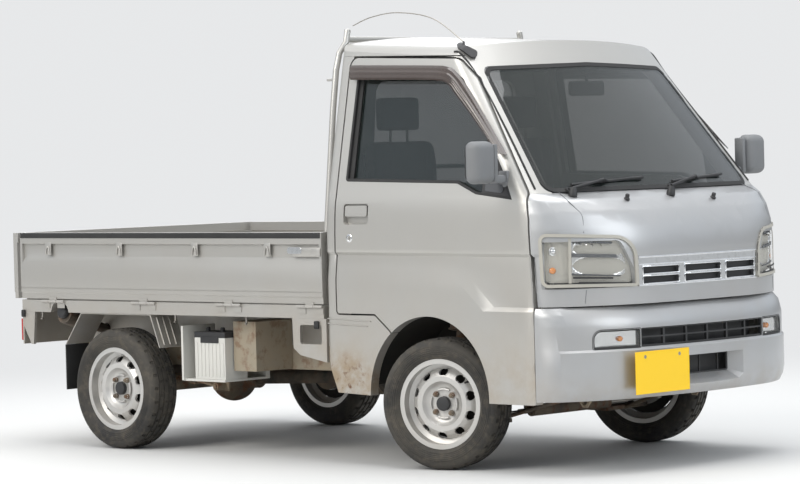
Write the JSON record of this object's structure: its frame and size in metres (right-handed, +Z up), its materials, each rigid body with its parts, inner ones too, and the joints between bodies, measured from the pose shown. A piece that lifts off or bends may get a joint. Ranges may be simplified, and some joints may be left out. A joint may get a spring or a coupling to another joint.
{
  "type": "small cab-over pickup truck",
  "caption": "Cab-over mini pickup: steel cab with hinged doors, flat load bed with drop-down side and tail gates, guard frame, steered front wheels and a driven rear axle.",
  "frame": {"origin": "on the ground, under the centre of the truck's bounding box", "axes": "+X forward, +Y to the truck's left, +Z up"},
  "size_m": [3.395, 1.8246, 1.8343],
  "materials": {
    "silver_paint": "satin metallic",
    "grey_paint": "satin",
    "frame_paint": "dusty satin",
    "wheel_silver": "satin metallic",
    "tyre": "dusty rubber",
    "window_glass": "clear tinted",
    "lamp_glass": "clear",
    "red_lens": "gloss",
    "chrome": "polished",
    "black_plastic": "matte",
    "grey_plastic": "matte",
    "trim_plastic": "matte",
    "seat_cloth": "woven",
    "plate_yellow": "satin",
    "rubber": "matte",
    "steel": "dull",
    "rusty_steel": "rusty",
    "battery_white": "matte"
  },
  "bodies": {
    "truck": {"roof": "silver_paint", "cab_front": "silver_paint", "front_panel": "silver_paint", "cab_sides": "silver_paint", "cab_back": "silver_paint", "cab_floor": "silver_paint", "cab_glass": "window_glass", "headlamps": "lamp_glass", "grille": "chrome", "front_bumper": "silver_paint", "bumper_grille": "black_plastic", "bumper_lamps": "lamp_glass", "number_plate": "plate_yellow", "wipers": "black_plastic", "dashboard": "trim_plastic", "seats": "seat_cloth", "antenna": "steel", "steering_column": "trim_plastic", "front_suspension": "rusty_steel", "chassis_frame": "frame_paint", "leaf_springs": "rusty_steel", "rear_axle": "rusty_steel", "engine": "steel", "propeller_shaft": "steel", "fuel_tank": "grey_paint", "battery": "battery_white", "exhaust": "steel", "bed_deck": "silver_paint", "bed_hinges": "silver_paint", "headboard": "silver_paint", "guard_frame": "silver_paint", "bed_brackets": "silver_paint", "mudguards": "silver_paint", "mud_flaps": "rubber", "tail_lamps": "red_lens"},
    "steering_wheel": {"steering_wheel": "trim_plastic"},
    "rack_bar": {"rack_bar": "steel"},
    "tail_gate": {"tail_gate": "silver_paint"},
    "door_left": {"door_left": "silver_paint", "door_glass_left": "window_glass", "mirror_left": "grey_plastic"},
    "side_gate_left": {"side_gate_left": "silver_paint"},
    "knuckle_left": {"knuckle_left": "rusty_steel"},
    "wheel_front_left": {"rim_front_left": "wheel_silver", "tyre_front_left": "tyre"},
    "wheel_rear_left": {"rim_rear_left": "wheel_silver", "tyre_rear_left": "tyre"},
    "door_right": {"door_right": "silver_paint", "door_glass_right": "window_glass", "mirror_right": "grey_plastic"},
    "side_gate_right": {"side_gate_right": "silver_paint"},
    "knuckle_right": {"knuckle_right": "rusty_steel"},
    "wheel_front_right": {"rim_front_right": "wheel_silver", "tyre_front_right": "tyre"},
    "wheel_rear_right": {"rim_rear_right": "wheel_silver", "tyre_rear_right": "tyre"}
  },
  "joints": [
    {"name": "steer_left", "type": "hinge", "parent": "truck", "child": "knuckle_left", "pos_m": [0.855, 0.5775, 0.26343], "axis": [0, -0.1736, 0.9848], "range_deg": [-50, 20]},
    {"name": "wheel_front_left_roll", "type": "hinge", "parent": "knuckle_left", "child": "wheel_front_left", "pos_m": [0.83588, 0.65002, 0.263], "axis": [-0.2549, 0.967, -0.0058], "continuous": true},
    {"name": "wheel_rear_left_roll", "type": "hinge", "parent": "truck", "child": "wheel_rear_left", "pos_m": [-1.045, 0.65, 0.263], "axis": [0, 1, 0], "continuous": true},
    {"name": "door_left_hinge", "type": "hinge", "parent": "truck", "child": "door_left", "pos_m": [1.415, 0.734, 0.5], "axis": [0, 0, -1], "range_deg": [0, 65]},
    {"name": "side_gate_left_hinge", "type": "hinge", "parent": "truck", "child": "side_gate_left", "pos_m": [-0.69, 0.731, 0.641], "axis": [-1, 0, 0], "range_deg": [0, 170]},
    {"name": "steer_right", "type": "hinge", "parent": "truck", "child": "knuckle_right", "pos_m": [0.855, -0.5775, 0.26343], "axis": [0, 0.1736, 0.9848], "range_deg": [-50, 20]},
    {"name": "wheel_front_right_roll", "type": "hinge", "parent": "knuckle_right", "child": "wheel_front_right", "pos_m": [0.87412, -0.65002, 0.263], "axis": [-0.2549, 0.967, 0.0058], "continuous": true},
    {"name": "wheel_rear_right_roll", "type": "hinge", "parent": "truck", "child": "wheel_rear_right", "pos_m": [-1.045, -0.65, 0.263], "axis": [0, 1, 0], "continuous": true},
    {"name": "door_right_hinge", "type": "hinge", "parent": "truck", "child": "door_right", "pos_m": [1.415, -0.734, 0.5], "axis": [0, 0, 1], "range_deg": [0, 65]},
    {"name": "side_gate_right_hinge", "type": "hinge", "parent": "truck", "child": "side_gate_right", "pos_m": [-0.69, -0.731, 0.641], "axis": [1, 0, 0], "range_deg": [0, 170]},
    {"name": "tail_gate_hinge", "type": "hinge", "parent": "truck", "child": "tail_gate", "pos_m": [-1.691, 0, 0.641], "axis": [0, -1, 0], "range_deg": [0, 170]},
    {"name": "steering_wheel_turn", "type": "hinge", "parent": "truck", "child": "steering_wheel", "pos_m": [1.12, -0.35, 0.985], "axis": [-0.5, 0, 0.866], "range_deg": [-750, 300]},
    {"name": "rack_slide", "type": "slide", "parent": "truck", "child": "rack_bar", "axis": [0, 1, 0], "range_m": [-0.0862, 0.0345]}
  ],
  "couplings": [
    {"joint": "steer_right", "follows": "steer_left", "ratio": 1},
    {"joint": "steering_wheel_turn", "follows": "steer_left", "ratio": 15},
    {"joint": "rack_slide", "follows": "steer_left", "m_per_rad": 0.0985}
  ]
}
